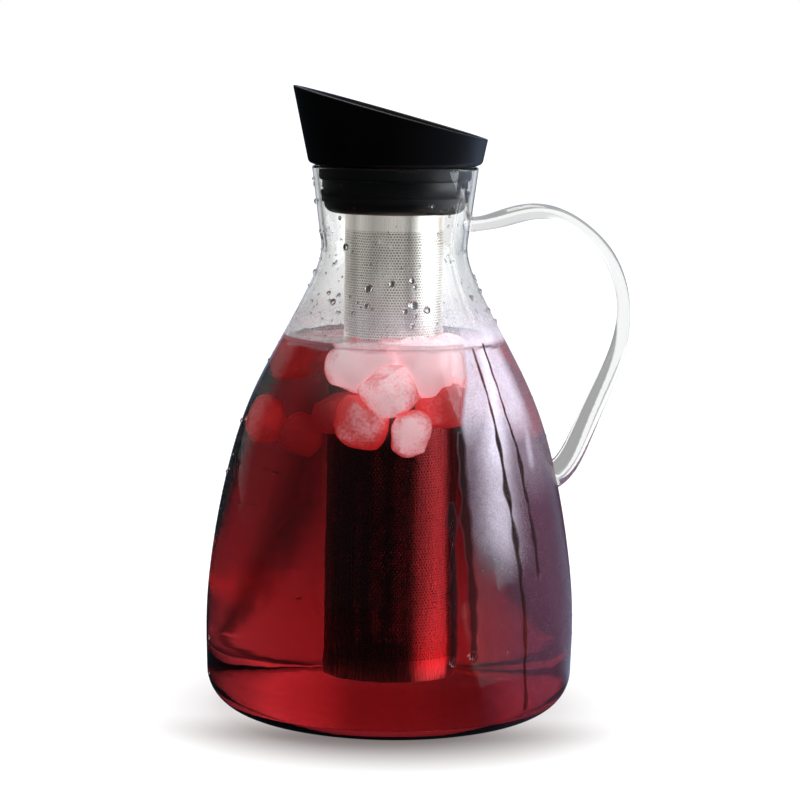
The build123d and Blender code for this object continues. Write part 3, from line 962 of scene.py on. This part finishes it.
def throughGlass(tree, path, level, behind):
    # the brightest window only reaches what lies inside the tea; clear glass on its own stays light; and a
    # reflection within the glass only catches what is behind
    deep = calc(tree, "GREATER_THAN", path["Transmission Depth"], studio["teaDepth"])
    most = calc(tree, "MULTIPLY", deep, studio["teaMost"] - studio["clearMost"])
    level = calc(tree, "MINIMUM", level, calc(tree, "ADD", studio["clearMost"], most))
    direct = calc(tree, "LESS_THAN", path["Glossy Depth"], 0.5)
    clear = calc(tree, "MULTIPLY", calc(tree, "SUBTRACT", 1.0, deep), direct)
    shallow = calc(tree, "LESS_THAN", path["Transmission Depth"], studio["wallDepth"])
    least = calc(tree, "ADD", studio["clearWalls"],
                 calc(tree, "MULTIPLY", shallow, studio["clearBar"] - studio["clearWalls"]))
    level = calc(tree, "MAXIMUM", level, calc(tree, "MULTIPLY", clear, least))
    within = calc(tree, "MULTIPLY", shallow, calc(tree, "SUBTRACT", 1.0, direct))
    return calc(tree, "ADD", calc(tree, "MULTIPLY", within, behind),
                calc(tree, "MULTIPLY", level, calc(tree, "SUBTRACT", 1.0, within)))


def makeWorld():
    world = bpy.data.worlds.new("studio")
    bpy.context.scene.world = world
    world.use_nodes = True
    tree = world.node_tree
    back = tree.nodes["Background"]
    path = addNode(tree, "LightPath").outputs
    heading = addNode(tree, "TexCoord").outputs["Generated"]
    sides = useGroup(tree, surroundings, Heading=heading).outputs
    seen = path["Is Transmission Ray"]
    ring = calc(tree, "ADD", calc(tree, "MULTIPLY", throughGlass(tree, path, sides["Above"], sides["Behind"]), seen),
                calc(tree, "MULTIPLY", sides["Above"], calc(tree, "SUBTRACT", 1.0, seen)))
    plain = addNode(tree, "CombineColor", {"Red": ring, "Green": ring, "Blue": ring}).outputs["Color"]
    mirrored = calc(tree, "SUBTRACT", path["Is Glossy Ray"], seen)
    side = blendColours(tree, mirrored, plain, sides["MirroredColour"])
    upward = addNode(tree, "SeparateXYZ", {"Vector": heading}).outputs["Z"]
    level = blendColours(tree, remap(tree, upward, *studio["overheadFrom"]), side, (studio["overhead"],) * 3 + (1,))
    tree.links.new(blendColours(tree, path["Is Camera Ray"], level, (1, 1, 1, 1)), back.inputs["Color"])


def makeFloor():
    # the camera sees a white table with a painted shadow of the jug, set by the distance from its axis; glass sees the
    # same surroundings as in the world
    mesh = bpy.data.meshes.new("tableTop")
    half, low = studio["tableHalf"], -studio["tableDrop"]
    corners = [(-half, -half, low), (half, -half, low), (half, half, low), (-half, half, low)]
    mesh.from_pydata(corners, [], [(0, 1, 2, 3)])
    floor = bpy.data.objects.new("tableTop", mesh)
    bpy.context.scene.collection.objects.link(floor)
    material, tree, shader = newMaterial("tableTop", Base_Color=studio["floorColour"], Roughness=0.6,
                                         Specular_IOR_Level=0.1)
    path = addNode(tree, "LightPath").outputs
    place = addNode(tree, "TexCoord").outputs["Object"]
    away = addNode(tree, "VectorMath", {0: place}, operation="LENGTH").outputs["Value"]
    depth = addNode(tree, "SeparateXYZ", {"Vector": place}).outputs["Y"]
    # painted shadow: darker near the jug's axis and more in front, added to the faint one the lamps cast
    shade = calc(tree, "MULTIPLY", remap(tree, away, *studio["shadowReach"], 1.0, 0.0),
                 remap(tree, depth, *studio["shadowFront"]))
    paintedBright = calc(tree, "SUBTRACT", 1.0, calc(tree, "MULTIPLY", shade, 1 - studio["shadowGlow"]))
    tint = blendColours(tree, shade, (1, 1, 1, 1), studio["shadowColour"])
    glow = addNode(tree, "Emission", {"Color": tint, "Strength": calc(tree, "MULTIPLY", path["Is Camera Ray"], paintedBright)})
    lit = addNode(tree, "AddShader", {0: shader.outputs[0], 1: glow.outputs[0]})
    # a spot on the floor lies at a smaller angle than the ray that reaches it
    heading = addNode(tree, "VectorMath", {0: place, 1: (studio["spread"], 1, 1)}, operation="MULTIPLY")
    sides = useGroup(tree, surroundings, Heading=heading.outputs["Vector"]).outputs
    near = calc(tree, "MULTIPLY", remap(tree, away, *studio["seenNear"]), remap(tree, away, *studio["seenMiddle"]))
    plain = calc(tree, "MAXIMUM", remap(tree, away, *studio["seenFar"]), remap(tree, away, *studio["seenUnder"]))
    plain = calc(tree, "MULTIPLY", plain, calc(tree, "LESS_THAN", path["Glossy Depth"], 0.5))
    level = calc(tree, "MINIMUM", calc(tree, "MULTIPLY", sides["Table"], near),
                 remap(tree, away, *studio["brightNear"]))
    # painted light: rays mirrored inside the base see the table under the jug tinted red, as if lit through the tea
    behind = calc(tree, "MAXIMUM", sides["Behind"], remap(tree, away, *studio["redUnder"]))
    level = throughGlass(tree, path, calc(tree, "MAXIMUM", level, plain), behind)
    red = calc(tree, "MULTIPLY", calc(tree, "LESS_THAN", away, studio["redUnder"][1]),
               calc(tree, "GREATER_THAN", path["Glossy Depth"], 0.5))
    colour = blendColours(tree, red, (1, 1, 1, 1), studio["redColour"])
    seen = addNode(tree, "Emission", {"Color": colour, "Strength": level})
    mirrored = addNode(tree, "Emission", {"Color": sides["MirroredColour"], "Strength": 1.0})
    shown = addNode(tree, "MixShader", {0: path["Is Glossy Ray"], 1: lit.outputs[0], 2: mirrored.outputs[0]})
    both = addNode(tree, "MixShader", {0: path["Is Transmission Ray"], 1: shown.outputs[0], 2: seen.outputs[0]})
    tree.links.new(both.outputs[0], tree.nodes["Material Output"].inputs["Surface"])
    mesh.materials.append(material)


def makeLamps():
    target = Vector((0, 0, 0.12))  # the middle of the jug
    for name, place, size, watts, colour, mirrored in studio["lamps"]:
        data = bpy.data.lights.new(name, "AREA")
        data.shape = "RECTANGLE"
        data.size, data.size_y = size
        data.energy = watts
        data.color = colour
        lamp = bpy.data.objects.new(name, data)
        bpy.context.scene.collection.objects.link(lamp)
        lamp.location = place
        lamp.visible_glossy = mirrored
        lamp.rotation_euler = (target - Vector(place)).to_track_quat("-Z", "Y").to_euler()


makeWorld()
makeFloor()
makeLamps()
bpy.context.scene.view_settings.view_transform = "Standard"
print("studio set")
